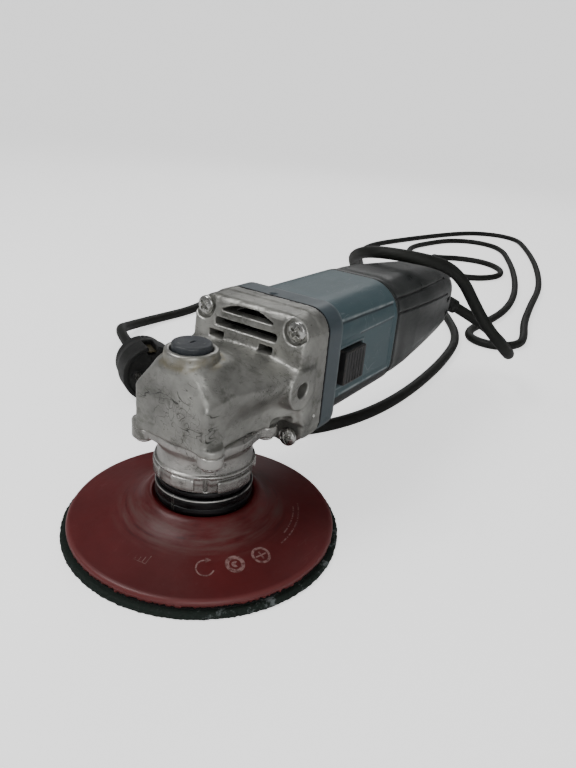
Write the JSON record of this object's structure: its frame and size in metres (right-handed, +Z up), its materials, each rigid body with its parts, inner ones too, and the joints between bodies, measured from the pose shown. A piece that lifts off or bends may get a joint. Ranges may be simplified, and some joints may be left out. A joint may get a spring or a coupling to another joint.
{
  "type": "rotary polisher",
  "caption": "Right-angle electric rotary polisher with a cast gear head, slim motor body, round backing pad, slide switch and a long mains lead with plug.",
  "frame": {"origin": "centre of the abrasive disc's working face, on the spindle axis, at the height of the surface it lies on", "axes": "+Z up along the spindle, +X from the spindle along the motor towards the cord end, +Y to the machine's right-hand side"},
  "size_m": [1.0345, 0.331, 0.1143],
  "materials": {
    "cast_alloy": "worn sand-cast, scratched",
    "bright_steel": "bright zinc",
    "housing_plastic": "satin moulded",
    "cover_plastic": "satin moulded",
    "black_plastic": "matt moulded",
    "button_plastic": "matt moulded",
    "lamination_steel": "pressed sheet stack",
    "bearing_steel": "ground",
    "machined_steel": "machined",
    "black_steel": "blackened, turned",
    "copper": "enamelled copper",
    "brass": "pressed brass",
    "carbon": "pressed carbon",
    "capacitor_film": "moulded case",
    "lead_insulation": "extruded",
    "cord_rubber": "matt",
    "seal_rubber": "matt",
    "pin_nickel": "nickel plated",
    "pad_rubber": "satin",
    "hook_fabric": "hook sheet",
    "abrasive": "coated abrasive"
  },
  "bodies": {
    "machine": {"gear_housing": "cast_alloy", "bearing_box": "cast_alloy", "bearing_box_screws": "bright_steel", "gear_housing_screws": "bright_steel", "motor_housing": "housing_plastic", "rear_cover": "cover_plastic", "rear_cover_screws": "bright_steel", "field_core": "lamination_steel", "field_windings": "copper", "air_baffle": "black_plastic", "spindle_bearing_outer_race": "bearing_steel", "spindle_needle_bearing": "bearing_steel", "front_armature_bearing_outer_race": "bearing_steel", "rear_armature_bearing_outer_race": "bearing_steel", "bearing_retainer": "bearing_steel", "dust_seal": "seal_rubber", "brush_bridge": "black_plastic", "brush_holders": "brass", "carbon_brushes": "carbon", "brush_springs": "machined_steel", "switch_unit": "black_plastic", "noise_capacitor": "capacitor_film", "motor_leads": "lead_insulation", "cord_clamp": "black_plastic", "cord_clamp_screws": "bright_steel", "cord_guard": "cord_rubber", "cord_tail": "cord_rubber", "power_cord": "cord_rubber", "plug_body": "cord_rubber", "plug_pins": "pin_nickel", "plug_earth_clips": "brass", "lock_spring": "machined_steel"},
    "spindle": {"spindle_shaft": "machined_steel", "bevel_gear": "machined_steel", "spindle_key": "machined_steel", "gear_circlip": "machined_steel", "spindle_bearing_inner_race": "bearing_steel", "spindle_flange": "black_steel", "clamp_collar": "black_steel", "pad_insert": "machined_steel", "backing_pad": "pad_rubber", "hook_sheet": "hook_fabric", "abrasive_disc": "abrasive"},
    "armature": {"armature_shaft": "machined_steel", "armature_core": "lamination_steel", "armature_windings": "copper", "commutator": "copper", "cooling_fan": "black_plastic", "bevel_pinion": "machined_steel", "front_armature_bearing_inner_race": "bearing_steel", "rear_armature_bearing_inner_race": "bearing_steel"},
    "switch_slider": {"switch_knob": "black_plastic", "switch_rail": "machined_steel"},
    "lock_plunger": {"lock_button": "button_plastic", "lock_pin": "machined_steel"}
  },
  "joints": [
    {"name": "spindle_spin", "type": "hinge", "parent": "machine", "child": "spindle", "pos_m": [0, 0, 0], "axis": [0, 0, 1], "continuous": true},
    {"name": "armature_spin", "type": "hinge", "parent": "machine", "child": "armature", "pos_m": [0, 0, 0.0682], "axis": [1, 0, 0], "continuous": true},
    {"name": "switch_slide", "type": "slide", "parent": "machine", "child": "switch_slider", "axis": [-1, 0, 0], "range_m": [0, 0.0045]},
    {"name": "lock_press", "type": "slide", "parent": "machine", "child": "lock_plunger", "axis": [0, 0, -1], "range_m": [0, 0.004], "stiffness_N_per_m": 900, "springref_m": -0.002, "deforming": ["lock_spring"]}
  ],
  "couplings": [
    {"joint": "armature_spin", "follows": "spindle_spin", "ratio": 3.7}
  ]
}
